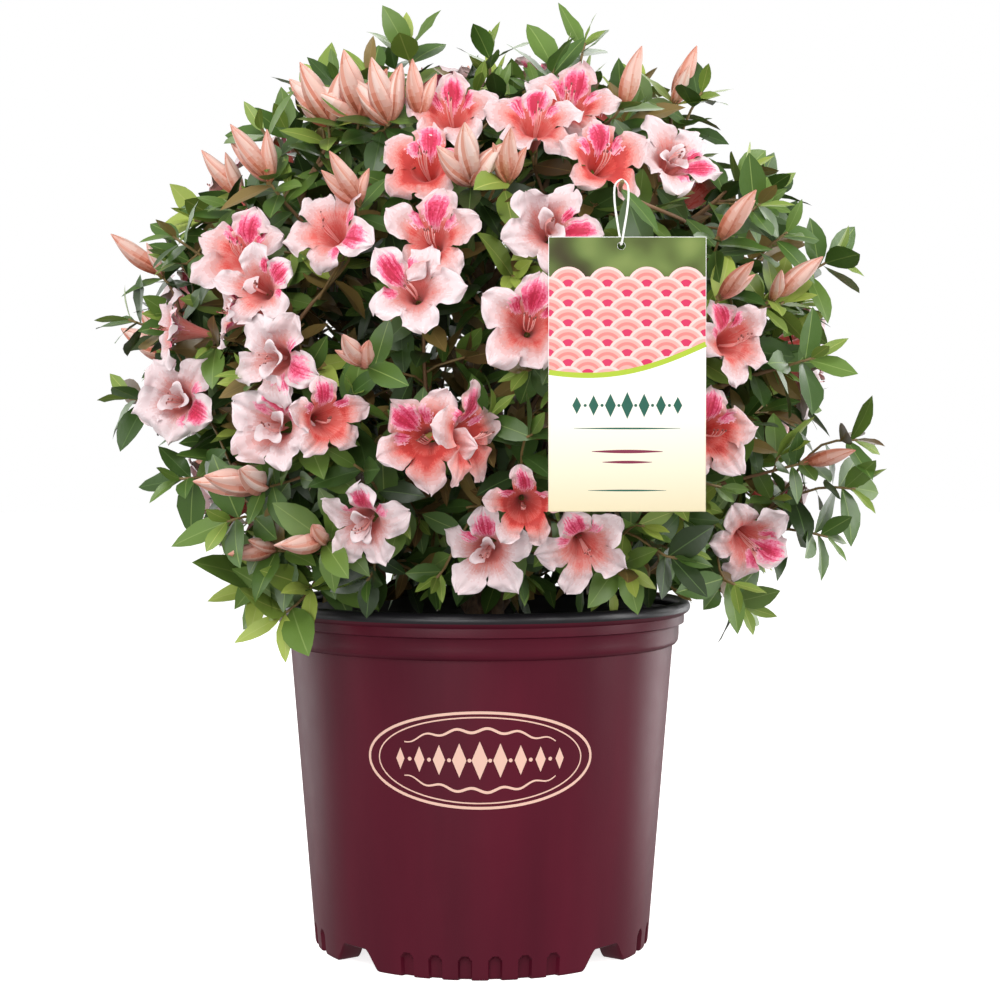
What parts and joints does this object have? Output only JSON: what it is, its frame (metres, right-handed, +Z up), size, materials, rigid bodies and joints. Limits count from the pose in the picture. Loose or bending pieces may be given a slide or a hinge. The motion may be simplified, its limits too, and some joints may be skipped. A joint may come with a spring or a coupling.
{
  "type": "potted azalea",
  "caption": "Rounded evergreen azalea shrub in full salmon-pink bloom, rooted in a maroon nursery pot with a rolled rim, with a plain picture card hung in its crown.",
  "frame": {"origin": "on the level of the pot's underside, under the middle of the whole plant's outline, so the pot's own axis is about 10 mm to the left of it and 3 mm in front", "axes": "+Z up, -Y towards the front that the picture shows, +X to the right seen from the front"},
  "size_m": [0.5778, 0.5472, 0.651],
  "materials": {
    "pot_plastic": "satin",
    "growing_mix": "matte",
    "bark": "matte",
    "foliage": "satin",
    "card": "satin",
    "loop": "matte"
  },
  "bodies": {
    "root": {"pot": "pot_plastic", "growing_mix": "growing_mix", "trunk": "bark", "bough_top": "bark", "bough_upper_front": "bark", "bough_upper_right": "bark", "bough_upper_right_rear": "bark", "bough_upper_rear": "bark", "bough_upper_left_rear": "bark", "bough_upper_left": "bark", "limb_lower_front": "bark", "limb_lower_front_right": "bark", "limb_lower_right": "bark", "limb_lower_rear_right": "bark", "limb_lower_rear": "bark", "limb_lower_rear_left": "bark", "limb_lower_left": "bark", "limb_lower_front_left": "bark", "foliage_top": "foliage", "foliage_upper_front": "foliage", "foliage_upper_right": "foliage", "foliage_upper_right_rear": "foliage", "foliage_upper_rear": "foliage", "foliage_upper_left_rear": "foliage", "foliage_upper_left": "foliage", "foliage_lower_front": "foliage", "foliage_lower_front_right": "foliage", "foliage_lower_right": "foliage", "foliage_lower_rear_right": "foliage", "foliage_lower_rear": "foliage", "foliage_lower_rear_left": "foliage", "foliage_lower_left": "foliage", "foliage_lower_front_left": "foliage", "card": "card", "card_loop": "loop"}
  },
  "joints": []
}
